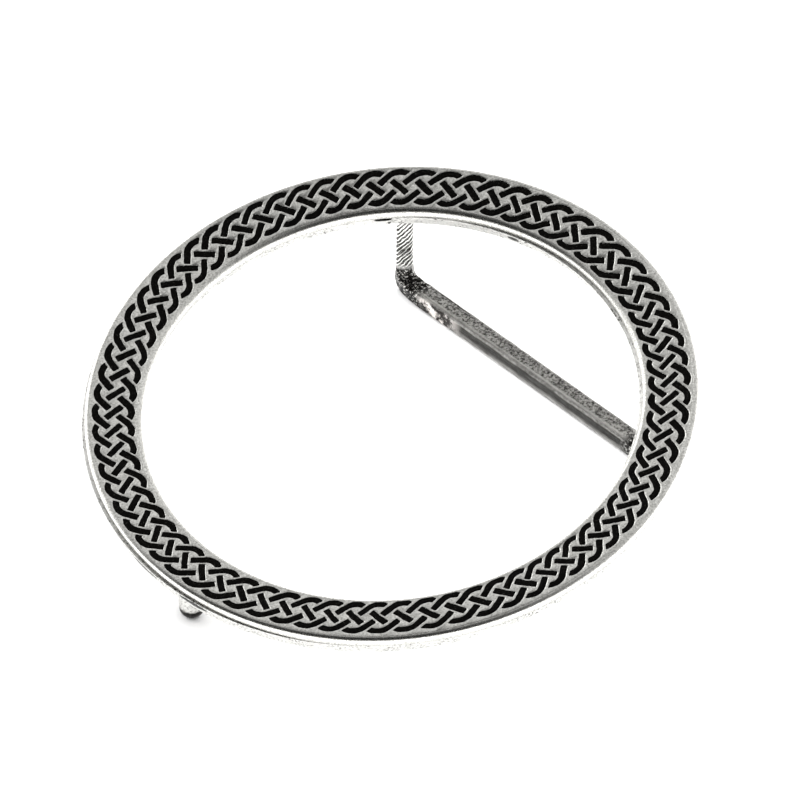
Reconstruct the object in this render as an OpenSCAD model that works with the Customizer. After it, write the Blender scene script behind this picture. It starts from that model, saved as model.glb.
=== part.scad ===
// Ring clasp for a strap: an engraved face ring on a cast back frame, which
// carries a strap bar on two legs and, across the ring from it, a hook stud.
// Sizes are in millimetres. The part lies as it rests on a table: on the
// underside of the bar and the tip of the stud, so the ring leans a little.
// +X points to the bar, +Z is up, and the origin is under the middle of the
// part's box, on the table.

/* [Ring] */
// Outer diameter of the ring
ring_d = 72; // [66:0.5:76]
// Diameter of the hole in the ring
hole_d = 58.6; // [57.6:0.2:58.8]
// Thickness of the whole ring
ring_t = 2.9; // [2.6:0.1:3.6]
// Thickness of the polished face ring
face_t = 1.25; // [1.1:0.05:1.4]
// How much lower the dished ring lies at its hole than at its outer edge
dish = 0.7; // [0:0.05:0.8]
// Radius of the rolled edges of the face
roll_r = 0.6; // [0.4:0.05:0.6]
// Radius of the round lower edges of the back frame
foot_r = 0.35; // [0.2:0.05:0.5]
// How far the walls of the back frame draw in towards the back
wall_draft = 0.25; // [0.1:0.05:0.4]
// Bevel on both sides of the seam between face ring and back frame
seam_bevel = 0.12; // [0.08:0.02:0.16]
// Gap between face ring and back frame
seam_gap = 0.03; // [0.02:0.01:0.05]

/* [Plait] */
// How many times the plait repeats round the ring
repeats = 72; // [68:1:76]
// Radius of the circle that the plait follows
plait_r = 32.7; // [32.5:0.1:32.8]
// How far a strand swings out from that circle
swing = 2.14; // [2:0.02:2.2]
// Width of a strand
strand_w = 0.7; // [0.6:0.02:0.76]
// Bare metal left between two strands where they cross
crossing_gap = 0.27; // [0.2:0.01:0.34]
// Depth of the grooves
groove_depth = 0.35; // [0.25:0.05:0.5]
// How far the black fill lies below the face
fill_drop = 0.1; // [0.05:0.01:0.15]
// Gap between the black fill and its groove
fill_gap = 0.03; // [0.02:0.01:0.04]

/* [Strap bar] */
// Distance of the bar from the ring's axis
bar_x = 21.35; // [21:0.05:22]
// Depth of the bar's middle below the face
bar_depth = 14.2; // [10:0.1:15]
// Distance between the middles of the two legs
leg_spread = 41.4; // [41:0.2:42]
// Width of the bar
bar_w = 2.35; // [2:0.05:2.6]
// Height of the bar
bar_h = 2.5; // [2:0.05:2.8]
// Radius of the bar's rounded edges
bar_edge = 0.5; // [0.3:0.1:0.8]
// Width of a leg, across the ring's radius
leg_w = 2; // [1.8:0.05:2.4]
// Thickness of a leg, along the ring's radius
leg_t = 2.1; // [1.8:0.05:2.4]
// Radius of the bend from bar to leg, to the middle of the metal
bend_r = 2.6; // [2.4:0.1:3.4]

/* [Hook stud] */
// Diameter of the stud
stud_d = 3; // [2.6:0.1:3.4]
// Distance of the middle of the stud's round tip from the ring's axis
stud_x = 33.75; // [33.4:0.05:33.8]
// Depth of the middle of the stud's round tip below the face
stud_depth = 6.7; // [6:0.1:8]

/* [Hidden] */
metal = [0.72, 0.73, 0.70];
cast_metal = [0.66, 0.66, 0.64];
black_fill = [0.03, 0.03, 0.03];
ring_r = ring_d / 2;
hole_r = hole_d / 2;
// Steps in a quarter turn of the rolled edges, and in a bend of a strand
roll_steps = 4;
bend_steps = 4;
// Depth that a piece is sunk into the one it is cast on
root = 0.6;
// Length of one repeat along the plait's circle
pitch = 2 * PI * plait_r / repeats;
// Radius of a strand's bend at the plait's edges, from the pitch and the swing
strand_bend_r = (pitch - swing) / (sqrt(2) - 1);
// Distance from the middle of a crossing to the cut end of the lower strand
cut_back = strand_w / 2 + crossing_gap;
stud_r = stud_d / 2;
// The lean of the stud, which stands square on the dished back
stud_lean = atan2(dish, ring_r - hole_r);
// Depth at which the stud ends inside the back frame
stud_top_depth = ring_t - root - dished([stud_x, 0]).y;
// The lean of the ring when the flat underside of the bar and the round tip of
// the stud both lie on the table, and the height of its middle above the table
span_x = bar_x + stud_x;
span_depth = bar_depth - stud_depth;
rest_lean = atan2(span_depth, span_x) + asin((bar_h / 2 - stud_r) / norm([span_x, span_depth]));
rest_height = bar_depth * cos(rest_lean) - bar_x * sin(rest_lean) + bar_h / 2;
// The legs stand upright on the table, and so lean in the ring. Each enters its
// back at leg_x, leg_y and ends inside it at leg_top_depth.
leg_y = leg_spread / 2;
leg_x = bar_x + (bar_depth - ring_t) * tan(rest_lean);
leg_top_depth = ring_t - root - dished([norm([leg_x, leg_y]), 0]).y;
// Shift that brings the middle of the part's box to the origin. The ring is at
// its widest from the foot of its rolled edge down to the shoulder of the seam.
shoulder_depth = face_t + seam_gap / 2 + seam_bevel;
rest_shift = -(roll_r + shoulder_depth) / 2 * sin(rest_lean);

// Points of an arc from angle a0 to a1 about c
function arc(c, r, a0, a1, steps) =
    [for (i = [0:steps]) let (a = a0 + (a1 - a0) * i / steps) c + r * [cos(a), sin(a)]];

// A point of the ring's section, let down by the dish
function dished(p) = p - [0, dish * (ring_r - p.x) / (ring_r - hole_r)];

// A point of the plait: s clockwise along its circle, out away from the centre
function on_plait(p) =
    let (r = plait_r + p.y, a = -p.x / plait_r * 180 / PI) r * [cos(a), sin(a)];

// Outline of the middle strand where it is on top, centred on its crossing
function middle_strand(inset) =
    let (
        along = [1, -1] / sqrt(2) * (pitch / sqrt(2) - cut_back - inset),
        across = [1, 1] / sqrt(2) * (strand_w / 2 - inset)
    )
    [along + across, along - across, -along - across, -along + across];

// Outline of the strand that swings to the outer edge: it comes out from under
// the middle strand at the origin, bends at the edge and stops on the line that
// is cut back from the next strand, where a side of radius r is at end_angle
function outer_strand(inset) =
    let (
        half = strand_w / 2 - inset,
        cut = cut_back + inset,
        start = [1, 1] / sqrt(2) * cut,
        left = [-1, 1] / sqrt(2) * half,
        c = [pitch, swing - strand_bend_r],
        end_angle = function (r) 45 + asin((cut - c.y / sqrt(2)) / r),
        wide = strand_bend_r + half,
        tight = strand_bend_r - half
    )
    concat(
        [start - left, start + left],
        arc(c, wide, 135, end_angle(wide), bend_steps),
        arc(c, tight, end_angle(tight), 135, bend_steps)
    );

// The three strands of one repeat, the inner one a half turn of the outer
module one_repeat(inset) {
    polygon([for (p = middle_strand(inset)) on_plait(p)]);
    polygon([for (p = outer_strand(inset)) on_plait(p)]);
    polygon([for (p = outer_strand(inset)) on_plait(-p)]);
}

// All strands, from z up to z + height where the ring isn't dished
module strands(z, height, inset) {
    low = [for (x = [hole_r, ring_r]) dished([x, z])];
    high = [for (x = [ring_r, hole_r]) dished([x, z + height])];
    intersection() {
        translate([0, 0, -ring_t])
            linear_extrude(height = 2 * ring_t)
                for (i = [0:repeats - 1]) rotate(360 * i / repeats) one_repeat(inset);
        rotate_extrude($fn = 144) polygon(concat(low, high));
    }
}

// Section of the face ring, with rolled upper edges and bevelled lower ones
module face_section() {
    bottom = -face_t + seam_gap / 2;
    outline = concat(
        arc([ring_r - roll_r, -roll_r], roll_r, 90, 0, roll_steps),
        [[ring_r, bottom + seam_bevel], [ring_r - seam_bevel, bottom]],
        [[hole_r + seam_bevel, bottom], [hole_r, bottom + seam_bevel]],
        arc([hole_r + roll_r, -roll_r], roll_r, 180, 90, roll_steps)
    );
    polygon([for (p = outline) dished(p)]);
}

// Section of the back frame's ring, with drawn-in walls and round lower edges
module back_section() {
    top = -face_t - seam_gap / 2;
    out = ring_r - wall_draft - foot_r;
    in = hole_r + wall_draft + foot_r;
    outline = concat(
        [[ring_r - seam_bevel, top], [ring_r, top - seam_bevel]],
        arc([out, -ring_t + foot_r], foot_r, 0, -90, roll_steps),
        arc([in, -ring_t + foot_r], foot_r, -90, -180, roll_steps),
        [[hole_r, top - seam_bevel], [hole_r + seam_bevel, top]]
    );
    polygon([for (p = outline) dished(p)]);
}

// A rectangle with round corners, centred
module rounded(w, h, r) {
    polygon(concat(
        arc([w / 2 - r, h / 2 - r], r, 0, 90, roll_steps),
        arc([r - w / 2, h / 2 - r], r, 90, 180, roll_steps),
        arc([r - w / 2, r - h / 2], r, 180, 270, roll_steps),
        arc([w / 2 - r, r - h / 2], r, 270, 360, roll_steps)
    ));
}

// One half of the strap bar, with its bend and its upright leg into the ring
module half_bar() {
    straight = leg_y - bend_r;
    leg_len = (bar_depth - leg_top_depth) / cos(rest_lean) - bend_r;
    translate([bar_x, 0, -bar_depth]) rotate([0, rest_lean, 0]) {
        rotate([-90, 0, 0])
            linear_extrude(height = straight) rounded(bar_w, bar_h, bar_edge);
        translate([0, straight, bend_r])
            rotate([0, 90, 0])
                rotate_extrude(angle = 90, $fn = 48)
                    translate([bend_r, 0]) rounded(bar_h, bar_w, bar_edge);
        translate([0, leg_y, bend_r - root / 2])
            rotate([0, 0, atan2(leg_y, leg_x)])
                linear_extrude(height = leg_len + root / 2) rounded(leg_t, leg_w, bar_edge);
    }
}

// The stud, straight out of the ring's back with a round tip
module stud() {
    translate([-stud_x, 0, -stud_depth]) rotate([0, stud_lean, 0]) {
        cylinder(h = (stud_depth - stud_top_depth) / cos(stud_lean), r = stud_r, $fn = 48);
        sphere(r = stud_r, $fn = 48);
    }
}

// Puts a piece, built face up at z = 0, where it rests
module resting() {
    translate([rest_shift, 0, rest_height]) rotate([0, -rest_lean, 0]) children();
}

module face_ring() {
    color(metal) resting() difference() {
        rotate_extrude($fn = 144) face_section();
        strands(-groove_depth, groove_depth + 1, 0);
    }
}

module back_frame() {
    color(cast_metal) resting() union() {
        rotate_extrude($fn = 144) back_section();
        half_bar();
        mirror([0, 1, 0]) half_bar();
        stud();
    }
}

module black_inlay() {
    color(black_fill) resting()
        strands(fill_gap - groove_depth, groove_depth - fill_drop - fill_gap, fill_gap);
}

face_ring();
back_frame();
black_inlay();
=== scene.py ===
import math
import random

import bmesh
import bpy
from mathutils import Matrix, Vector, noise


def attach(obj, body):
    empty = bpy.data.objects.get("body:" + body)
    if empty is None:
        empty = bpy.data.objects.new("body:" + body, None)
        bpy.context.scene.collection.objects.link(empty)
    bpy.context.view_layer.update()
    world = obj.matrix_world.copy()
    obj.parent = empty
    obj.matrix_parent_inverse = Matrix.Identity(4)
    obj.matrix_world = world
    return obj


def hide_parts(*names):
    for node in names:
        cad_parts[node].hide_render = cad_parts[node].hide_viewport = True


# The buckle as it lies on the table
# A ring buckle for a strap. It rests on the flat underside of its strap bar and
# the round tip of its hook stud. Each piece is built face up, with the middle of
# the face's outer edge at the origin, and is then leaned and lifted to the table.
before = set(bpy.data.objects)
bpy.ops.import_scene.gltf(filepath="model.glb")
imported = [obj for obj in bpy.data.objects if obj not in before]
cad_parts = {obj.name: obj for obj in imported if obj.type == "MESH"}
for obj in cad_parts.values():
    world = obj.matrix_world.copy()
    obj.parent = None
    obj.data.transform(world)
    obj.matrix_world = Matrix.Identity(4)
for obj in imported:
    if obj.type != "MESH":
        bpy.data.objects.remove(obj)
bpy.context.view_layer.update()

MM = 0.001
RING_R = 36 * MM
FACE_T = 1.25 * MM
ROLL_R = 0.6 * MM
SEAM_GAP = 0.03 * MM
SEAM_BEVEL = 0.12 * MM
BAR_X = 21.35 * MM
BAR_DEPTH = 14.2 * MM
BAR_H = 2.5 * MM
STUD_R = 1.5 * MM
STUD_X = 33.75 * MM
STUD_DEPTH = 6.7 * MM

span_x = BAR_X + STUD_X
span_depth = BAR_DEPTH - STUD_DEPTH
rest_lean = math.atan2(span_depth, span_x) + math.asin(
    (BAR_H / 2 - STUD_R) / math.hypot(span_x, span_depth)
)
rest_height = BAR_DEPTH * math.cos(rest_lean) - BAR_X * math.sin(rest_lean) + BAR_H / 2
rest_shift = -(ROLL_R + FACE_T + SEAM_GAP / 2 + SEAM_BEVEL) / 2 * math.sin(rest_lean)
resting = Matrix.Translation((rest_shift, 0, rest_height)) @ Matrix.Rotation(-rest_lean, 4, "Y")

# Camera, light and table
# A very long lens looks down on the buckle from beside the hook stud. The table
# is white and so brightly lit that only contact shadows show. The room is dim
# high on the camera's side, with a low window far left and a soft glow right.

# Width of the picture, and the ring's outer radius and middle in it, in pixels
PHOTO_PX = 800
RING_PX = 308.5
CENTRE_PX = (391.0, 398.8)
# Angles of the view in degrees, the lens and its sensor in mm, the range in m
VIEW_AZIMUTH = -45.3
VIEW_ELEVATION = 44.95
VIEW_ROLL = 0.46
LENS = 700
SENSOR = 36
CLIP_START = 0.1
CLIP_END = 20

cam_data = bpy.data.cameras.new("camera")
cam_data.lens = LENS
cam_data.sensor_width = SENSOR
cam_data.clip_start = CLIP_START
cam_data.clip_end = CLIP_END
camera = bpy.data.objects.new("camera", cam_data)
bpy.context.collection.objects.link(camera)
bpy.context.scene.camera = camera


def towards(azimuth, elevation):
    """The direction from the buckle to where a view at angles in degrees is from."""
    turned = math.radians(azimuth)
    level = math.cos(math.radians(elevation))
    up = math.sin(math.radians(elevation))
    return Vector((math.sin(turned) * level, -math.cos(turned) * level, up))


to_camera = towards(VIEW_AZIMUTH, VIEW_ELEVATION)
roll = Matrix.Rotation(math.radians(VIEW_ROLL), 4, "Z")
turn = to_camera.to_track_quat("Z", "Y") @ roll.to_quaternion()
px_size = RING_R / RING_PX
aim = Vector((rest_shift, 0, rest_height)) + turn @ Vector((
    (PHOTO_PX / 2 - CENTRE_PX[0]) * px_size,
    (CENTRE_PX[1] - PHOTO_PX / 2) * px_size,
    0,
))
camera.location = aim + to_camera * (px_size * PHOTO_PX * LENS / SENSOR)
camera.rotation_mode = "QUATERNION"
camera.rotation_quaternion = turn


def node(tree, kind, inputs=None, **settings):
    """Adds a shader node with its options set and its inputs linked or filled."""
    made = tree.nodes.new("ShaderNode" + kind)
    for option, value in settings.items():
        setattr(made, option, value)
    for socket, value in (inputs or {}).items():
        if isinstance(value, bpy.types.NodeSocket):
            tree.links.new(value, made.inputs[socket])
        else:
            made.inputs[socket].default_value = value
    return made


def math_node(tree, operation, *values):
    """One step of arithmetic on values or sockets."""
    return node(tree, "Math", dict(enumerate(values)), operation=operation).outputs[0]


def ramp(tree, value, stops):
    """Turns a value into a grey by a ramp of positions and tones."""
    made = node(tree, "ValToRGB", {"Fac": value})
    elements = made.color_ramp.elements
    while len(elements) < len(stops):
        elements.new(0.5)
    for element, (position, tone) in zip(elements, stops):
        element.position = position
        element.color = (tone, tone, tone, 1)
    return made.outputs["Color"]


# Brightness of the room by the angle from its dim pole, and of the window and
# the glow by the angle from their middles, as shares of half a turn. Each middle
# is given by its elevation and how far it lies to the left of the camera, in degrees.
ROOM_TONES = (
    (0.0, 0.03), (0.21, 0.03), (0.29, 0.07), (0.35, 0.22), (0.41, 0.60), (0.60, 0.66),
    (0.67, 0.95), (1.0, 1.2),
)
DIM_POLE_ELEVATION = 30
DIM_POLE_TURN = 20
WINDOW_TONES = ((0.0, 1.5), (0.11, 1.3), (0.17, 0.0))
WINDOW_ELEVATION = 12
WINDOW_TURN = 130
GLOW_TONES = ((0.0, 0.2), (0.25, 0.1), (0.38, 0.0))
GLOW_ELEVATION = 35
GLOW_TURN = 250

world = bpy.data.worlds.new("room")
bpy.context.scene.world = world
world.use_nodes = True
room = world.node_tree
outwards = node(room, "TexCoord").outputs["Generated"]


def rings_of_light(middle, tones):
    """Brightness of the room as rings of tones round one direction."""
    inputs = {0: outwards, 1: tuple(middle)}
    cosine = node(room, "VectorMath", inputs, operation="DOT_PRODUCT").outputs["Value"]
    angle = math_node(room, "ARCCOSINE", cosine)
    return ramp(room, math_node(room, "DIVIDE", angle, math.pi), tones)


light = (0, 0, 0)
for elevation, turned, tones in (
    (DIM_POLE_ELEVATION, DIM_POLE_TURN, ROOM_TONES),
    (WINDOW_ELEVATION, WINDOW_TURN, WINDOW_TONES),
    (GLOW_ELEVATION, GLOW_TURN, GLOW_TONES),
):
    middle = towards(VIEW_AZIMUTH - turned, elevation)
    inputs = {0: light, 1: rings_of_light(middle, tones)}
    light = node(room, "VectorMath", inputs, operation="ADD").outputs[0]
room.links.new(light, room.nodes["Background"].inputs["Color"])

LAMP_POWER = 340
LAMP_SIZE = 6
LAMP_HEIGHT = 2.5
lamp_data = bpy.data.lights.new("ceiling_of_light", "AREA")
lamp_data.energy = LAMP_POWER
lamp_data.size = LAMP_SIZE
lamp = bpy.data.objects.new("ceiling_of_light", lamp_data)
lamp.location = (0, 0, LAMP_HEIGHT)
lamp.visible_glossy = False
bpy.context.collection.objects.link(lamp)
bpy.context.scene.view_settings.view_transform = "Standard"

TABLE_SIZE = 3
TABLE_WHITE = (0.93, 0.93, 0.93)
TABLE_ROUGHNESS = 0.9
bm = bmesh.new()
bmesh.ops.create_grid(bm, x_segments=1, y_segments=1, size=TABLE_SIZE)
table_mesh = bpy.data.meshes.new("table")
bm.to_mesh(table_mesh)
bm.free()
table = bpy.data.objects.new("table", table_mesh)
bpy.context.collection.objects.link(table)
table_white = bpy.data.materials.new("table_white")
table_white.use_nodes = True
table_shader = table_white.node_tree.nodes["Principled BSDF"]
table_shader.inputs["Base Color"].default_value = (*TABLE_WHITE, 1)
table_shader.inputs["Roughness"].default_value = TABLE_ROUGHNESS
table_shader.inputs["Specular IOR Level"].default_value = 0.0
table_mesh.materials.append(table_white)

# Face ring
# The polished ring that shows from the front, cast in white metal with an
# antique silver finish and a fine satin grain. It is dished a little, its edges
# are rolled over, and 216 grooves for the plait are cut in its face by hand.
HOLE_R = 29.3 * MM
DISH = 0.7 * MM
FACE_BEVEL = 0.03 * MM
REPEATS = 72
PLAIT_R = 32.6 * MM
SWING = 2.14 * MM
CUT_BACK = 0.63 * MM
STRAND_W = 0.81 * MM
STRAND_CORNER = 0.12 * MM
GROOVE_DEPTH = 0.35 * MM
GROOVE_EDGE = 0.06 * MM
# How far the mouth of a groove slopes on its +Y side, and down to which depth
MOUTH_SLOPE = 0.17 * MM
MOUTH_DEPTH = 0.09 * MM
# How far the face's plate and its rolled rims reach into each other, and how far
# the rims' hidden edges stand above the plate
OVERLAP = 0.05 * MM
PLATE_OVERLAP = 0.12 * MM
RIM_LIFT = 0.0005 * MM
# Steps of the ring, its sectors, its rolled edges, and a strand's bends and corners
RING_STEPS = 360
SECTORS = 12
ROLL_STEPS = 8
BEND_STEPS = 8
CORNER_STEPS = 2
# The longest side of a strand's outline, and how near two points are merged
STRAND_STEP = 0.15 * MM
MERGE = 0.001 * MM
FINE_MERGE = 0.0002 * MM
# A corner blunter than this, in degrees, stays as it is, and the rounding of the
# others takes at most this share of a side
BLUNT = 140
SIDE_SHARE = 0.45
# How far the engraver's hand strays in width, length, place and line
HAND_SEED = 11
STRAY_WIDTH = 0.05 * MM
STRAY_END = 0.12 * MM
STRAY_PLACE = 0.02 * MM
STRAY_LINE = 0.07 * MM
STRAY_LINE_SIZE = 0.8 * MM
RAGGED = 0.03 * MM
RAGGED_SIZE = 0.22 * MM
# Slow waves of the hand round the ring, as count, size in mm and phase in
# degrees: how far the plait runs ahead, and how far it swerves out
PLAIT_START = -1.47 * MM
RUN_WAVES = (
    (1, 0.4, 50), (2, 0.15, 0), (3, 0.4, -30), (6, 0.12, -45), (7, 0.1, -110), (9, 0.1, -75),
)
SWERVE_WAVES = ((1, 0.1, -155), (3, 0.15, -120))

pitch = 2 * math.pi * PLAIT_R / REPEATS
strand_bend_r = (pitch - SWING) / (math.sqrt(2) - 1)


def arc(x, y, radius, start, end, steps):
    """Points of an arc about x, y, with its angles in degrees."""
    turns = [math.radians(start + (end - start) * i / steps) for i in range(steps + 1)]
    return [(x + radius * math.cos(t), y + radius * math.sin(t)) for t in turns]


def dense(outline, step):
    """The outline with points added, so that no side is longer than the step."""
    points = []
    for start, end in zip(outline, outline[1:] + outline[:1]):
        start, end = Vector(start), Vector(end)
        count = max(1, math.ceil((end - start).length / step))
        points += [tuple(start.lerp(end, i / count)) for i in range(count)]
    return points


def rounded(outline, radius):
    """The outline with its sharp corners rounded off."""
    points = []
    for i, corner in enumerate(outline):
        corner = Vector(corner)
        before = Vector(outline[i - 1]) - corner
        after = Vector(outline[(i + 1) % len(outline)]) - corner
        if before.angle(after) > math.radians(BLUNT):
            points.append(tuple(corner))
            continue
        reach = min(radius, before.length * SIDE_SHARE, after.length * SIDE_SHARE)
        first = corner + before.normalized() * reach
        last = corner + after.normalized() * reach
        for k in range(CORNER_STEPS + 1):
            t = k / CORNER_STEPS
            points.append(tuple(first * (1 - t) ** 2 + corner * 2 * t * (1 - t) + last * t * t))
    return points


def middle_strand(half, first_cut, last_cut):
    """The strand that crosses the middle of the band."""
    along = Vector((1, -1)) / math.sqrt(2)
    across = Vector((1, 1)) / math.sqrt(2) * half
    ahead = along * (pitch / math.sqrt(2) - first_cut)
    behind = -along * (pitch / math.sqrt(2) - last_cut)
    return [tuple(p) for p in (ahead + across, ahead - across, behind - across, behind + across)]


def outer_strand(half, first_cut, last_cut):
    """The strand that swings out to the band's edge and back under the next."""
    start = Vector((1, 1)) / math.sqrt(2) * first_cut
    left = Vector((-1, 1)) / math.sqrt(2) * half
    bend_x = pitch
    bend_y = SWING - strand_bend_r
    wide = strand_bend_r + half
    tight = strand_bend_r - half
    wide_end, tight_end = (
        45 + math.degrees(math.asin((last_cut - bend_y / math.sqrt(2)) / r))
        for r in (wide, tight)
    )
    return (
        [tuple(start - left), tuple(start + left)]
        + arc(bend_x, bend_y, wide, 135, wide_end, BEND_STEPS)
        + arc(bend_x, bend_y, tight, tight_end, 135, BEND_STEPS - 1)
    )


def waves(turn, terms):
    """The sum of waves round the ring at one angle."""
    return sum(size * MM * math.sin(n * turn + math.radians(phase)) for n, size, phase in terms)


def on_ring(x, y):
    """A point of the plait on the ring: x clockwise along it and y outwards."""
    turn = x / PLAIT_R
    radius = PLAIT_R + y + waves(turn, SWERVE_WAVES)
    turn += (PLAIT_START + waves(turn, RUN_WAVES)) / PLAIT_R
    point = Vector((math.cos(turn), -math.sin(turn), 0)) * radius
    line = noise.noise_vector(point / STRAY_LINE_SIZE) * STRAY_LINE
    point += line + noise.noise_vector(point / RAGGED_SIZE) * RAGGED
    return point.x, point.y


def strands(wider):
    """Outlines of all 216 strands on the ring, strayed by hand, in three rows."""
    hand = random.Random(HAND_SEED)
    noise.seed_set(HAND_SEED)
    rows = ([], [], [])
    kinds = ((middle_strand, 1), (outer_strand, 1), (outer_strand, -1))
    for i in range(REPEATS):
        for row, (shape, side) in zip(rows, kinds):
            half = (STRAND_W + hand.uniform(-1, 1) * STRAY_WIDTH) / 2
            cuts = [CUT_BACK + hand.random() * STRAY_END for _ in range(2)]
            dx, dy = (hand.uniform(-1, 1) * STRAY_PLACE for _ in range(2))
            outline = shape(half + wider, cuts[0] - wider, cuts[1] - wider)
            outline = dense(rounded(outline, STRAND_CORNER), STRAND_STEP)
            row.append([on_ring(side * x + dx + i * pitch, side * y + dy) for x, y in outline])
    return rows


def plate(bm, name, outlines, top, bottom, edge):
    """Adds a flat plate filled inside its outlines, with rounded edges all round.

    Every groove is cut aslant: below its mouth it is shifted towards +Y, so that
    one side of the mouth slopes and the other is undercut.
    """
    curve = bpy.data.curves.new(name, "CURVE")
    curve.dimensions = "2D"
    curve.fill_mode = "BOTH"
    curve.bevel_depth = edge
    curve.bevel_resolution = 1
    curve.offset = -edge
    curve.extrude = (top - bottom) / 2 - edge
    for outline in outlines:
        spline = curve.splines.new("POLY")
        spline.points.add(len(outline) - 1)
        for point, (x, y) in zip(spline.points, outline):
            point.co = (x, y, 0, 1)
        spline.use_cyclic_u = True
    flat = bpy.data.objects.new(name, curve)
    bpy.context.collection.objects.link(flat)
    mesh = flat.evaluated_get(bpy.context.evaluated_depsgraph_get()).to_mesh()
    mesh.transform(Matrix.Translation((0, 0, (top + bottom) / 2)))
    for vert in mesh.vertices:
        depth = min(-vert.co.z / MOUTH_DEPTH, 1)
        vert.co.y += MOUTH_SLOPE * (depth - 0.5)
    bm.from_mesh(mesh)
    bpy.data.objects.remove(flat)
    bmesh.ops.remove_doubles(bm, verts=bm.verts, dist=MERGE)


def spun(section, steps):
    """Spins a closed section of radius and height round the ring's axis.

    One of twelve sectors is spun and then repeated, because a spin slows down as
    its mesh grows.
    """
    bm = bmesh.new()
    verts = [bm.verts.new((r, 0, z)) for r, z in section]
    edges = [bm.edges.new((verts[i - 1], verts[i])) for i in range(len(verts))]
    bmesh.ops.spin(
        bm, geom=verts + edges, cent=(0, 0, 0), axis=(0, 0, 1),
        angle=2 * math.pi / SECTORS, steps=steps // SECTORS,
    )
    sector = bm.verts[:] + bm.edges[:] + bm.faces[:]
    for i in range(1, SECTORS):
        copied = bmesh.ops.duplicate(bm, geom=sector)["geom"]
        bmesh.ops.rotate(
            bm, verts=[v for v in copied if isinstance(v, bmesh.types.BMVert)],
            matrix=Matrix.Rotation(2 * math.pi * i / SECTORS, 3, "Z"),
        )
    bmesh.ops.remove_doubles(bm, verts=bm.verts, dist=FINE_MERGE)
    return bm


def dish(bm):
    """Lets the ring down towards its hole."""
    for vert in bm.verts:
        vert.co.z -= DISH * (RING_R - vert.co.xy.length) / (RING_R - HOLE_R)


def finished(name, bm, material, stands_for):
    """Lays a mesh that was built face up on the table, as the finished piece."""
    bmesh.ops.recalc_face_normals(bm, faces=bm.faces)
    bm.transform(resting)
    for face in bm.faces:
        face.smooth = True
    mesh = bpy.data.meshes.new(name)
    bm.to_mesh(mesh)
    bm.free()
    mesh.materials.append(material)
    piece = bpy.data.objects.new(name, mesh)
    bpy.context.collection.objects.link(piece)
    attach(piece, "root")
    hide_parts(stands_for)
    return piece


def keep_flats_flat(piece):
    """Shades rounded edges without bending the light on the flats beside them."""
    weighted = piece.modifiers.new("flat faces win", "WEIGHTED_NORMAL")
    weighted.keep_sharp = True


def shader_of(material):
    """Gives a material its nodes, and returns their tree and the main shader."""
    material.use_nodes = True
    return material.node_tree, material.node_tree.nodes["Principled BSDF"]


def group(name, inputs, outputs):
    """A node group, for an effect that materials share, with its two end nodes."""
    tree = bpy.data.node_groups.new(name, "ShaderNodeTree")
    for in_out, sockets in (("INPUT", inputs), ("OUTPUT", outputs)):
        for socket, kind in sockets.items():
            tree.interface.new_socket(socket, in_out=in_out, socket_type="NodeSocket" + kind)
    return tree, tree.nodes.new("NodeGroupInput").outputs, tree.nodes.new("NodeGroupOutput").inputs


def noise_node(tree, vector, size, detail=2.0, roughness=0.5):
    """Noise with grains of one size, in the units of its vector."""
    inputs = {"Vector": vector, "Scale": 1 / size, "Detail": detail, "Roughness": roughness}
    return node(tree, "TexNoise", inputs).outputs["Fac"]


def spread(tree, value, low, high, out_low=0.0, out_high=1.0):
    """Maps one range of a value onto another, clamped at both ends."""
    inputs = {0: value, 1: low, 2: high, 3: out_low, 4: out_high}
    return node(tree, "MapRange", inputs).outputs[0]


def mixed(tree, share, first, second):
    """Mixes two colours by a share."""
    made = node(tree, "Mix", {0: share}, data_type="RGBA")
    for socket, colour in ((made.inputs[6], first), (made.inputs[7], second)):
        if isinstance(colour, bpy.types.NodeSocket):
            tree.links.new(colour, socket)
        else:
            socket.default_value = (*colour, 1)
    return made.outputs[2]


def dress(tree, shader, colour, roughness, height, depth):
    """Puts colour, roughness and fine relief on a material's shader."""
    tree.links.new(colour, shader.inputs["Base Color"])
    tree.links.new(roughness, shader.inputs["Roughness"])
    relief = node(tree, "Bump", {"Height": height, "Distance": depth})
    tree.links.new(relief.outputs["Normal"], shader.inputs["Normal"])


# The satin grain that brushing and tumbling leave on the metal
FINE_GRAIN = 0.2 * MM
BROAD_GRAIN = 1.4 * MM
BROAD_SHARE = 0.2
satin, satin_in, satin_out = group("satin_grain", {"Vector": "Vector"}, {"Grain": "Float"})
fine = noise_node(satin, satin_in["Vector"], FINE_GRAIN, detail=2, roughness=0.6)
fine = spread(satin, fine, 0.35, 0.65, 0, 1 - BROAD_SHARE)
broad = noise_node(satin, satin_in["Vector"], BROAD_GRAIN, detail=2)
grain = math_node(satin, "ADD", fine, math_node(satin, "MULTIPLY", broad, BROAD_SHARE))
satin.links.new(grain, satin_out["Grain"])

SILVER = (0.95, 0.945, 0.905)
SILVER_DULL = (0.38, 0.375, 0.35)
SILVER_ROUGHNESS = (0.34, 0.24)
GRAIN_DEPTH = 0.006 * MM
silver = bpy.data.materials.new("antique_silver")
tree, shader = shader_of(silver)
shader.inputs["Metallic"].default_value = 1
place = node(tree, "TexCoord").outputs["Object"]
grain = node(tree, "Group", {"Vector": place}, node_tree=satin).outputs["Grain"]
dress(
    tree, shader,
    mixed(tree, grain, SILVER_DULL, SILVER),
    spread(tree, grain, 0, 1, *SILVER_ROUGHNESS),
    grain, GRAIN_DEPTH,
)

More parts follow.
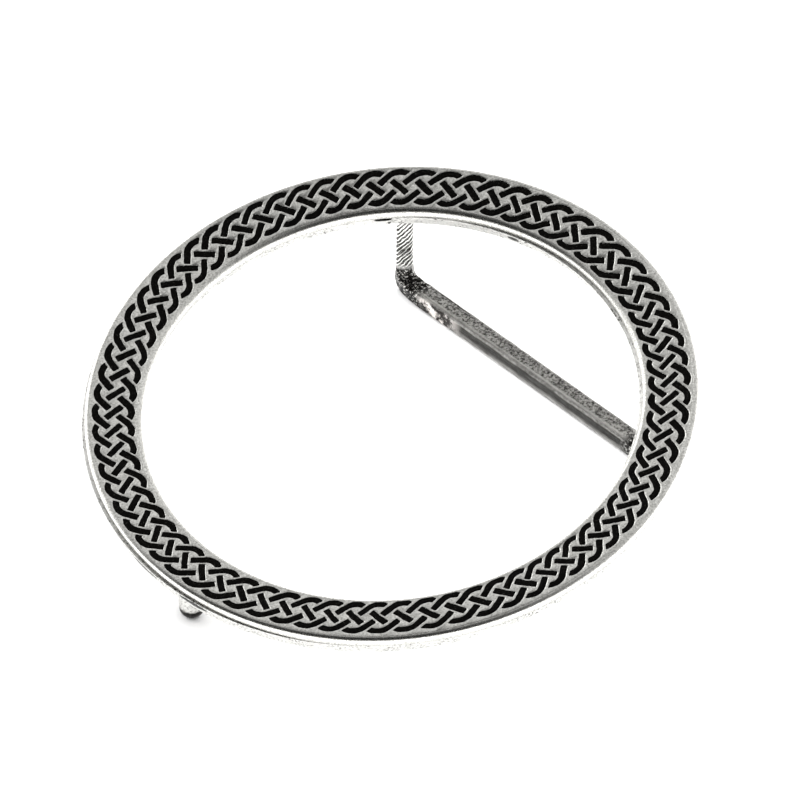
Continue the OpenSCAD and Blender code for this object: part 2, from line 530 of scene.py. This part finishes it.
face_bottom = -FACE_T + SEAM_GAP / 2
rim_out = RING_R - ROLL_R - OVERLAP
rim_in = HOLE_R + ROLL_R + OVERLAP
rim_bottom = -GROOVE_DEPTH + OVERLAP
bm = spun(
    [(rim_out, RIM_LIFT)]
    + arc(RING_R - ROLL_R, -ROLL_R, ROLL_R, 90, 0, ROLL_STEPS)
    + [(RING_R, face_bottom + FACE_BEVEL), (RING_R - FACE_BEVEL, face_bottom)]
    + [(HOLE_R + FACE_BEVEL, face_bottom), (HOLE_R, face_bottom + FACE_BEVEL)]
    + arc(HOLE_R + ROLL_R, -ROLL_R, ROLL_R, 180, 90, ROLL_STEPS)
    + [(rim_in, RIM_LIFT), (rim_in, rim_bottom), (rim_out, rim_bottom)],
    RING_STEPS,
)
plate_outlines = [
    arc(0, 0, radius, 0, 360, RING_STEPS)[:-1]
    for radius in (RING_R - ROLL_R + PLATE_OVERLAP, HOLE_R + ROLL_R - PLATE_OVERLAP)
]
for row in strands(0):
    plate_outlines += row
plate(bm, "face_plate", plate_outlines, 0, -GROOVE_DEPTH, GROOVE_EDGE)
dish(bm)
face_ring = finished("polished_face", bm, silver, "face_ring")
keep_flats_flat(face_ring)

# Black fill
# Black enamel laid in the grooves, one fill for each strand, nearly flush with
# the face. It is dull with fine streaks in its relief; the grey in them is a painted glint.
FILL_DROP = 0.06 * MM
FILL_WIDER = 0.02 * MM
FILL_EDGE = 0.015 * MM
ENAMEL_BLACK = (0.0008, 0.0007, 0.0006)
ENAMEL_GLINT_GREY = (0.040, 0.038, 0.034)
ENAMEL_ROUGHNESS = (0.55, 0.35)
ENAMEL_GLOSS = 0.02
STREAK_SIZE = 0.15 * MM
STREAK_STRETCH = (1, 1, 0.25)
STREAK_RANGE = (0.60, 0.80)
STREAK_DEPTH = 0.02 * MM
black = bpy.data.materials.new("black_enamel")
tree, shader = shader_of(black)
shader.inputs["Specular IOR Level"].default_value = ENAMEL_GLOSS
place = node(tree, "TexCoord").outputs["Object"]
# Streaks in the enamel's relief and roughness, whose grey colour is a painted glint
stretched = node(tree, "VectorMath", {0: place, 1: STREAK_STRETCH}, operation="MULTIPLY").outputs[0]
glint_streaks = noise_node(tree, stretched, STREAK_SIZE, detail=3, roughness=0.7)
glint_streaks = spread(tree, glint_streaks, *STREAK_RANGE)
dress(
    tree, shader,
    mixed(tree, glint_streaks, ENAMEL_BLACK, ENAMEL_GLINT_GREY),
    spread(tree, glint_streaks, 0, 1, *ENAMEL_ROUGHNESS),
    glint_streaks, STREAK_DEPTH,
)
bm = bmesh.new()
for row in strands(FILL_WIDER):
    plate(bm, "black_fill", row, -FILL_DROP, -GROOVE_DEPTH + OVERLAP, FILL_EDGE)
dish(bm)
black_fill = finished("black_fill", bm, black, "black_inlay")
keep_flats_flat(black_fill)

# Back frame
# The rough cast ring under the face ring. It sits a little off to one side, its
# walls draw in towards the back, and a fine dark line runs along the seam between
# the two: dirt in the joint, with painted shade where the edge is brought out. It
# is cast, so its skin has low lumps, small dark pits and a few dents.
RING_T = 2.9 * MM
FOOT_R = 0.35 * MM
WALL_DRAFT = 0.25 * MM
BACK_STEPS = 720
BACK_STEP = 0.18 * MM
FOOT_STEPS = 6
# How far the ring sits off the middle, and in which direction in degrees
OFF_MIDDLE = 0.42 * MM
OFF_ANGLE = 122
# How much lower the edges lie that this brings out, and how soon that wears off
# round the ring on its outer and inner edge
EDGE_DROP = 0.14 * MM
OUTER_FALL = 4
INNER_FALL = 2
# The dark line along the seam, partly dirt in the joint and partly painted shade
# on the edge where it is brought out: its height, how dark it is outside, how much
# darker (painted shade) where it is brought out, how dark inside (painted shade,
# only where brought out), and how patchy it is
SEAM_LINE_HEIGHT = 0.04 * MM
OUTER_DIRT = 0.5
OUTER_SEAM_SHADE = 0.3
INNER_SEAM_SHADE = 0.7
SEAM_DARK_LEVEL = 0.7
SEAM_DARK_PATCHES = 0.6
# Where the dark line along the seam is left out, in degrees
CLEAN_ANGLE = 188
CLEAN_WIDTH = 18
# Dents and dark patches as angle and depth, with half their width and height, in
# degrees and mm. The nick opens the seam beside a leg, and its dark is painted shade.
NICK = (46.3, 1.4, 2.2, 0.25)
NICK_DEPTH = 0.3 * MM
DARK_PATCHES = (
    NICK, (45, 2.4, 0.5, 0.3), (34, 1.4, 0.6, 0.12), (32.5, 1.5, 0.4, 0.1),
    (15, 1.9, 1.6, 0.4), (172, 2.0, 4, 0.35), (-174.5, 1.8, 3.5, 0.45),
)
DARK_PATCH_STRENGTH = 1.5
LUMP_SIZE = 1.1 * MM
LUMP_HEIGHT = 0.02 * MM

# The pits and dark specks of a casting, as a mask. They lie in clusters of so
# many times their size, and are this faint between them.
PIT_RANGE = (0.51, 0.62)
CLUSTER_SIZE = 9
CLUSTER_RANGE = (0.38, 0.62)
BETWEEN_CLUSTERS = 0.25
pits, pits_in, pits_out = group(
    "casting_pits", {"Vector": "Vector", "Size": "Float"}, {"Pits": "Float"}
)
sized = node(pits, "VectorMath", {0: pits_in["Vector"], 1: pits_in["Size"]}, operation="DIVIDE")
specks = noise_node(pits, sized.outputs[0], 1, detail=4, roughness=0.75)
clusters = noise_node(pits, sized.outputs[0], CLUSTER_SIZE, detail=1)
clusters = spread(pits, clusters, *CLUSTER_RANGE, BETWEEN_CLUSTERS, 1)
mask = math_node(pits, "MULTIPLY", spread(pits, specks, *PIT_RANGE), clusters)
pits.links.new(mask, pits_out["Pits"])

CAST_SILVER = (0.70, 0.695, 0.67)
PIT_BLACK = (0.04, 0.037, 0.035)
DIRT_AND_SHADE_BLACK = (0.010, 0.009, 0.008)
CAST_ROUGHNESS = (0.38, 0.60)
DIRT_AND_SHADE_RANGE = (0.4, 0.9)
PIT_SIZE = 0.28 * MM
PIT_DEPTH = 0.03 * MM
cast = bpy.data.materials.new("cast_silver")
tree, shader = shader_of(cast)
shader.inputs["Metallic"].default_value = 1
place = node(tree, "TexCoord").outputs["Object"]
inputs = {"Vector": place, "Size": PIT_SIZE}
specks = node(tree, "Group", inputs, node_tree=pits).outputs["Pits"]
# Dirt and painted shade from the mesh: the seam line, dark patches, painted shade in the nick and
# on the stud's tip
dirt_and_shade = node(tree, "Attribute", attribute_name="dirt_and_shade").outputs["Fac"]
dirt_and_shade = math_node(tree, "ADD", dirt_and_shade, math_node(tree, "MULTIPLY", specks, dirt_and_shade))
dirt_and_shade = spread(tree, dirt_and_shade, *DIRT_AND_SHADE_RANGE)
dress(
    tree, shader,
    mixed(tree, dirt_and_shade, mixed(tree, specks, CAST_SILVER, PIT_BLACK), DIRT_AND_SHADE_BLACK),
    spread(tree, specks, 0, 1, *CAST_ROUGHNESS),
    math_node(tree, "MULTIPLY", specks, -1), PIT_DEPTH,
)


def lumpy(bm, size, height):
    """Pushes a fine mesh in and out along its normals, as a cast skin is."""
    bm.normal_update()
    for vert in bm.verts:
        vert.co += vert.normal * height * noise.noise(vert.co / size)


def brought_out(angle, outside):
    """How much of an upper edge shows because the ring sits off the middle."""
    facing = math.cos(math.radians(angle - OFF_ANGLE)) * (1 if outside else -1)
    return max(facing, 0) ** (OUTER_FALL if outside else INNER_FALL)


def seam_dirt_and_shade(place, angle, outside):
    """How dark the line along an upper edge is, as a share: dirt in the joint, with painted shade
    where the edge is brought out.
    """
    patchy = SEAM_DARK_LEVEL + SEAM_DARK_PATCHES * noise.noise(place / LUMP_SIZE)
    if not outside:
        return INNER_SEAM_SHADE * brought_out(angle, outside) * patchy
    clean = math.exp(-((angle % 360 - CLEAN_ANGLE) / CLEAN_WIDTH) ** 2)
    return (OUTER_DIRT + OUTER_SEAM_SHADE * brought_out(angle, outside)) * (1 - clean) * patchy


back_top = -FACE_T - SEAM_GAP / 2
back_out = RING_R - WALL_DRAFT - FOOT_R
back_in = HOLE_R + WALL_DRAFT + FOOT_R
section = (
    [(RING_R - OFF_MIDDLE, back_top), (RING_R - FACE_BEVEL, back_top)]
    + [(RING_R, back_top - FACE_BEVEL), (RING_R, back_top - FACE_BEVEL - SEAM_LINE_HEIGHT)]
    + arc(back_out, -RING_T + FOOT_R, FOOT_R, 0, -90, FOOT_STEPS)
    + arc(back_in, -RING_T + FOOT_R, FOOT_R, -90, -180, FOOT_STEPS)
    + [(HOLE_R, back_top - FACE_BEVEL - SEAM_LINE_HEIGHT), (HOLE_R, back_top - FACE_BEVEL)]
    + [(HOLE_R + FACE_BEVEL, back_top), (HOLE_R + OFF_MIDDLE, back_top)]
)
bm = spun(dense(section, BACK_STEP), BACK_STEPS)
dirt_and_shade_layer = bm.verts.layers.float.new("dirt_and_shade")
for vert in bm.verts:
    angle = math.degrees(math.atan2(vert.co.y, vert.co.x))
    outside = vert.co.xy.length > (RING_R + HOLE_R) / 2
    from_wall = min(RING_R - vert.co.xy.length, vert.co.xy.length - HOLE_R)
    if vert.co.z > back_top - 2 * SEAM_BEVEL and from_wall < OFF_MIDDLE / 2:
        vert.co.z -= EDGE_DROP * brought_out(angle, outside)
        if from_wall < FACE_BEVEL / 2:
            # The dark line along the seam: dirt, with painted shade where the edge is brought out
            vert[dirt_and_shade_layer] = seam_dirt_and_shade(vert.co, angle, outside)
    # Dark patches; the one in the nick is painted shade in the opened seam
    for dark_patch in DARK_PATCHES:
        patch_angle, depth, half_width, half_height = dark_patch
        # Dark patches on the stud's side are on the outer wall, the others in the hole
        if outside != (abs(patch_angle) > 90):
            continue
        off = (angle - patch_angle) / half_width
        down = (-vert.co.z / MM - depth) / half_height
        share = DARK_PATCH_STRENGTH * math.exp(-((off * off + down * down) ** 2))
        vert[dirt_and_shade_layer] = max(vert[dirt_and_shade_layer], min(share, 1))
        if dark_patch is NICK and vert.co.z > -(depth + half_height) * MM:
            vert.co.z -= NICK_DEPTH * math.exp(-(off ** 4))
lumpy(bm, LUMP_SIZE, LUMP_HEIGHT)
dish(bm)
off_middle = Matrix.Rotation(math.radians(OFF_ANGLE), 3, "Z") @ Vector((OFF_MIDDLE, 0, 0))
bm.transform(Matrix.Translation(off_middle))
finished("back_ring", bm, cast, "back_frame")

# Strap bar
# A square bar with rounded edges, bent up at both ends into two legs that are
# cast in one with the back ring and stand upright. Its top is dark and mottled,
# its edges are worn bright, its bends are porous, and its legs are filed.
BAR_W = 2.35 * MM
BAR_EDGE = 0.5 * MM
LEG_Y = 20.7 * MM
LEG_W = 2.0 * MM
LEG_T = 2.1 * MM
BEND_R = 2.6 * MM
ROOT = 0.6 * MM
# Distance between the bar's sections, and the longest side of a section
STATION = 0.16 * MM
BAR_STEP = 0.2 * MM
EDGE_STEPS = 5
BAR_LUMP_SIZE = 0.8 * MM
BAR_LUMP_HEIGHT = 0.04 * MM
# How much fuller a bend is cast on its outside and inside, and how far before
# the bend the bar's section starts to change to the leg's
ELBOW_OUT = 0.9 * MM
ELBOW_IN = 0.35 * MM
CHANGE_BEFORE = 1 * MM

straight = LEG_Y - BEND_R
bend_len = BEND_R * math.pi / 2
leg_x = BAR_X + (BAR_DEPTH - RING_T) * math.tan(rest_lean)
leg_inward = (RING_R - math.hypot(leg_x, LEG_Y)) / (RING_R - HOLE_R)
leg_top_depth = RING_T - ROOT + DISH * leg_inward
half_len = straight + bend_len + (BAR_DEPTH - leg_top_depth) / math.cos(rest_lean) - BEND_R
leg_twist = math.atan2(leg_x, LEG_Y)


def smooth(value, low, high):
    """Rises from 0 at low to 1 at high, gently at both ends."""
    t = min(max((value - low) / (high - low), 0), 1)
    return t * t * (3 - 2 * t)


def bent(point):
    """Carries a point of the straight bar along its bend and up its leg."""
    side = -1 if point.y < 0 else 1
    along = abs(point.y)
    angle = min(max((along - straight) / BEND_R, 0), math.pi / 2)
    rise = max(along - straight - bend_len, 0)
    share = smooth(along, straight - CHANGE_BEFORE, straight + bend_len)
    u = point.x * (1 + (LEG_W / BAR_W - 1) * share)
    w = point.z * (1 + (LEG_T / BAR_H - 1) * share)
    twist = leg_twist * share
    u, w = u * math.cos(twist) - w * math.sin(twist), u * math.sin(twist) + w * math.cos(twist)
    fuller = math.sin(2 * angle) ** 2 * (ELBOW_OUT if w < 0 else ELBOW_IN)
    reach = BEND_R - w - fuller * w / (BAR_H / 2)
    y = min(along, straight) + reach * math.sin(angle)
    z = max(BEND_R - reach * math.cos(angle) + rise, -BAR_H / 2)
    return Vector((u, side * y, z))


def rectangle(width, height, radius):
    """Outline of a rectangle with round corners, centred."""
    x = width / 2 - radius
    y = height / 2 - radius
    return (
        arc(x, y, radius, 0, 90, EDGE_STEPS) + arc(-x, y, radius, 90, 180, EDGE_STEPS)
        + arc(-x, -y, radius, 180, 270, EDGE_STEPS) + arc(x, -y, radius, 270, 360, EDGE_STEPS)
    )


bm = bmesh.new()
outline = dense(rectangle(BAR_W, BAR_H, BAR_EDGE), BAR_STEP)
verts = [bm.verts.new((x, -half_len, z)) for x, z in outline]
edges = [bm.edges.new((verts[i - 1], verts[i])) for i in range(len(verts))]
stations = 2 * round(half_len / STATION)
bmesh.ops.spin(
    bm, geom=verts + edges, cent=(0, 0, 0), axis=(0, 0, 1),
    dvec=(0, 2 * half_len / stations, 0), angle=0, steps=stations,
)
bmesh.ops.holes_fill(bm, edges=[e for e in bm.edges if e.is_boundary], sides=0)
bmesh.ops.recalc_face_normals(bm, faces=bm.faces)
straight_place = bm.verts.layers.float_vector.new("straight_mm")
for vert in bm.verts:
    vert[straight_place] = vert.co / MM
lumpy(bm, BAR_LUMP_SIZE, BAR_LUMP_HEIGHT)
for vert in bm.verts:
    vert.co = bent(vert.co)
bm.transform(Matrix.Translation((BAR_X, 0, -BAR_DEPTH)) @ Matrix.Rotation(rest_lean, 4, "Y"))

worn = bpy.data.materials.new("worn_cast_silver")
tree, shader = shader_of(worn)
shader.inputs["Metallic"].default_value = 1


def rises(value, limits):
    """A mask that rises from 0 to 1 between two limits."""
    return spread(tree, value, *limits)


def falls(value, limits):
    """A mask that falls from 1 to 0 between two limits."""
    return math_node(tree, "SUBTRACT", 1, rises(value, limits))


def product(*shares):
    """The product of several masks."""
    made = shares[0]
    for share in shares[1:]:
        made = math_node(tree, "MULTIPLY", made, share)
    return made


# Place on the straight bar in mm, across, along and up, and noise in that place
MOTTLE_SIZE = 0.34
BLOB_SIZE = 1.6
BROAD_SIZE = 2.2
DRAWN_SIZE = 0.2
DRAWN_STRETCH = (1, 0.05, 1)
WAVER = 0.9
place = node(tree, "Attribute", attribute_name="straight_mm").outputs["Vector"]
parts = node(tree, "SeparateXYZ", {0: place}).outputs
across, lengthwise, up = parts["X"], parts["Y"], parts["Z"]
along = math_node(tree, "ABSOLUTE", lengthwise)
mottle = noise_node(tree, place, MOTTLE_SIZE, detail=3, roughness=0.8)
mottle = rises(mottle, (0.38, 0.62))
white_specks = rises(mottle, (0.72, 0.95))
blobs = noise_node(tree, place, BLOB_SIZE, detail=3, roughness=0.7)
blobs = rises(blobs, (0.44, 0.56))
drawn = node(tree, "VectorMath", {0: place, 1: DRAWN_STRETCH}, operation="MULTIPLY").outputs[0]
drawn = noise_node(tree, drawn, DRAWN_SIZE, detail=2, roughness=0.6)
drawn = rises(drawn, (0.35, 0.65))
waver = noise_node(tree, place, BROAD_SIZE, detail=2)
waver = math_node(tree, "SUBTRACT", waver, 0.5)
waver = math_node(tree, "MULTIPLY", waver, WAVER)

# Where the masks rise or fall, in mm. The arrises are the two upper edges, told
# by the sum or difference of up and across.
bend_start = straight / MM
bend_end = (straight + bend_len) / MM
LEG_FROM = (bend_end + 0.6, bend_end + 1.4)
ELBOW_FROM = (bend_start - 2, bend_start - 0.4)
TOP_FROM = (0.85, 1.1)
SIDE_FROM = (-0.9, -1.1)
ARRIS_FROM = (1.80, 1.98)
ARRIS_TO = (-1.02, -1.12)
FAR_ARRIS_FROM = (1.95, 2.1)
BAND_FROM = (-0.95, -0.15)
BAND_TO = (0.75, 1.0)
SMEARS_FROM = (10, 13)
CRACK_FROM = (10.5, 11.5)
CRACK_TO = (15.5, 16.5)
CRACK_NEAR = (0.66, 0.72)
CRACK_FAR = (0.80, 0.86)

leg = rises(math_node(tree, "ADD", along, waver), LEG_FROM)
not_leg = math_node(tree, "SUBTRACT", 1, leg)
ragged = math_node(tree, "ADD", along, math_node(tree, "MULTIPLY", waver, 2))
elbow = product(rises(ragged, ELBOW_FROM), not_leg)
top = rises(up, TOP_FROM)
not_top = math_node(tree, "SUBTRACT", 1, top)
arris = rises(math_node(tree, "SUBTRACT", up, across), ARRIS_FROM)
arris = product(arris, falls(across, ARRIS_TO))
far_arris = rises(math_node(tree, "ADD", up, across), FAR_ARRIS_FROM)
band_height = math_node(tree, "ADD", up, math_node(tree, "MULTIPLY", waver, 0.5))
dark_band = product(
    rises(across, SIDE_FROM), rises(band_height, BAND_FROM), falls(band_height, BAND_TO)
)
smears = product(not_top, rises(lengthwise, SMEARS_FROM))
crack = product(
    rises(across, CRACK_NEAR), falls(across, CRACK_FAR), top,
    rises(lengthwise, CRACK_FROM), falls(lengthwise, CRACK_TO),
)

# File marks, which run slantwise over the legs in wavering strokes with gaps
FILE_PITCH = 0.46
FILE_STRAY_SIZE = 0.9
FILE_PATCHES = 3
FILE_ACROSS = (-0.73 / FILE_PITCH, 0.683 / FILE_PITCH, 0)
inputs = {0: place, 1: FILE_ACROSS}
strokes = node(tree, "VectorMath", inputs, operation="DOT_PRODUCT").outputs["Value"]
stray = noise_node(tree, place, FILE_STRAY_SIZE, detail=2)
strokes = math_node(tree, "ADD", strokes, stray)
strokes = math_node(tree, "SINE", math_node(tree, "MULTIPLY", strokes, 2 * math.pi))
strokes = math_node(tree, "ADD", strokes, math_node(tree, "MULTIPLY", waver, FILE_PATCHES))
filed = product(leg, rises(strokes, (-0.45, -0.05)), spread(tree, mottle, 0, 0.6, 0.75, 1))

# The bar's colour, laid on coat by coat over its dark mottled skin
BAR_DARK = (0.025, 0.024, 0.022)
BAR_LIGHT = (0.50, 0.49, 0.47)
SIDE_DARK = (0.20, 0.195, 0.185)
SIDE_LIGHT = (0.60, 0.595, 0.57)
BAND_DARK = (0.025, 0.024, 0.022)
BAND_LIGHT = (0.06, 0.058, 0.055)
WORN_BRIGHT = (0.72, 0.71, 0.68)
WORN_GREY = (0.40, 0.395, 0.38)
SMEAR_DARK = (0.030, 0.026, 0.024)
SMEAR_LIGHT = (0.92, 0.87, 0.83)
CRACK_BLACK = (0.010, 0.009, 0.008)
ELBOW_BLACK = (0.012, 0.011, 0.010)
ELBOW_WHITE = (0.85, 0.84, 0.80)
LEG_WHITE = (0.96, 0.955, 0.93)
FILED_BLACK = (0.022, 0.020, 0.018)
BAR_ROUGHNESS = (0.55, 0.38)
MOTTLE_DEPTH = 0.02 * MM
coats = (
    (not_top, mixed(tree, drawn, SIDE_DARK, SIDE_LIGHT)),
    (dark_band, mixed(tree, drawn, BAND_DARK, BAND_LIGHT)),
    (product(arris, spread(tree, drawn, 0, 1, 0.5, 1)), WORN_BRIGHT),
    (product(far_arris, spread(tree, drawn, 0.2, 0.8, 0.3, 1)), WORN_GREY),
    (smears, mixed(tree, blobs, SMEAR_DARK, SMEAR_LIGHT)),
    (crack, CRACK_BLACK),
    (elbow, mixed(tree, white_specks, ELBOW_BLACK, ELBOW_WHITE)),
    (leg, LEG_WHITE),
    (filed, FILED_BLACK),
)
colour = mixed(tree, mottle, BAR_DARK, BAR_LIGHT)
for share, coat in coats:
    colour = mixed(tree, share, colour, coat)
relief = math_node(tree, "SUBTRACT", mottle, math_node(tree, "MULTIPLY", filed, 2))
roughness = spread(tree, mottle, 0, 1, *BAR_ROUGHNESS)
dress(tree, shader, colour, roughness, relief, MOTTLE_DEPTH)
finished("strap_bar", bm, worn, "back_frame")

# Hook stud
# A round stud with a round tip, cast in one with the back ring, straight out of
# its back. It holds the strap's free end by one of its punched holes.
STUD_STEPS = 64
TIP_STEPS = 16
NECK_STEPS = 12
stud_lean = math.atan2(DISH, RING_R - HOLE_R)
stud_root_depth = RING_T - ROOT + DISH * (RING_R - STUD_X) / (RING_R - HOLE_R)
stud_len = (STUD_DEPTH - stud_root_depth) / math.cos(stud_lean)
bm = bmesh.new()
tip = arc(0, 0, STUD_R, -90, 0, TIP_STEPS)
neck = [(STUD_R, stud_len * i / NECK_STEPS) for i in range(1, NECK_STEPS + 1)]
profile = tip + neck + [(0, stud_len)]
verts = [bm.verts.new((x, 0, z)) for x, z in profile]
edges = [bm.edges.new(pair) for pair in zip(verts, verts[1:])]
bmesh.ops.spin(
    bm, geom=verts + edges, cent=(0, 0, 0), axis=(0, 0, 1),
    angle=2 * math.pi, steps=STUD_STEPS, use_merge=True,
)
bmesh.ops.remove_doubles(bm, verts=bm.verts, dist=MERGE)
bmesh.ops.recalc_face_normals(bm, faces=bm.faces)
# Painted shade: the stud darkens over its round tip, where it rests on the table
dirt_and_shade_layer = bm.verts.layers.float.new("dirt_and_shade")
for vert in bm.verts:
    vert[dirt_and_shade_layer] = smooth(-vert.co.z / STUD_R, -0.5, 0)
lumpy(bm, LUMP_SIZE, LUMP_HEIGHT)
bm.transform(
    Matrix.Translation((-STUD_X, 0, -STUD_DEPTH)) @ Matrix.Rotation(stud_lean, 4, "Y")
)
finished("hook_stud", bm, cast, "back_frame")
